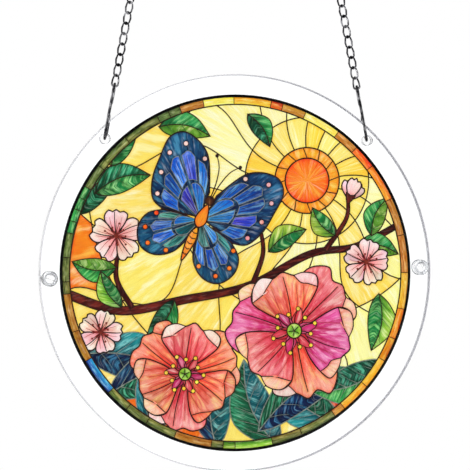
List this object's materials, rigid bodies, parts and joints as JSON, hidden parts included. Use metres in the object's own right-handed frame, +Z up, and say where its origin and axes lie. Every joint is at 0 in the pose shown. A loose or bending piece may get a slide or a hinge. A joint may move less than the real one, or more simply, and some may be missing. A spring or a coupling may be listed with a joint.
{
  "type": "hanging suncatcher",
  "caption": "Round clear acrylic suncatcher that holds a printed stained-glass picture film, hung from a ring by wire hooks and curb chains.",
  "frame": {"origin": "top of the hanging ring's eye, where a nail or a window hook bears on it", "axes": "+Z up, +X to the right as seen from the front, and the picture faces -Y"},
  "size_m": [0.15, 0.0078, 0.4006],
  "materials": {
    "clear_acrylic": "polished",
    "printed_film": "satin",
    "clear_rivet": "gloss",
    "plated_wire": "gloss"
  },
  "bodies": {
    "root": {"front_plate": "clear_acrylic", "back_plate": "clear_acrylic", "picture_film": "printed_film", "rivet_left": "clear_rivet", "rivet_right": "clear_rivet", "wire_hook_left": "plated_wire", "wire_hook_right": "plated_wire", "chain_left": "plated_wire", "chain_right": "plated_wire", "hanging_ring": "plated_wire"}
  },
  "joints": []
}
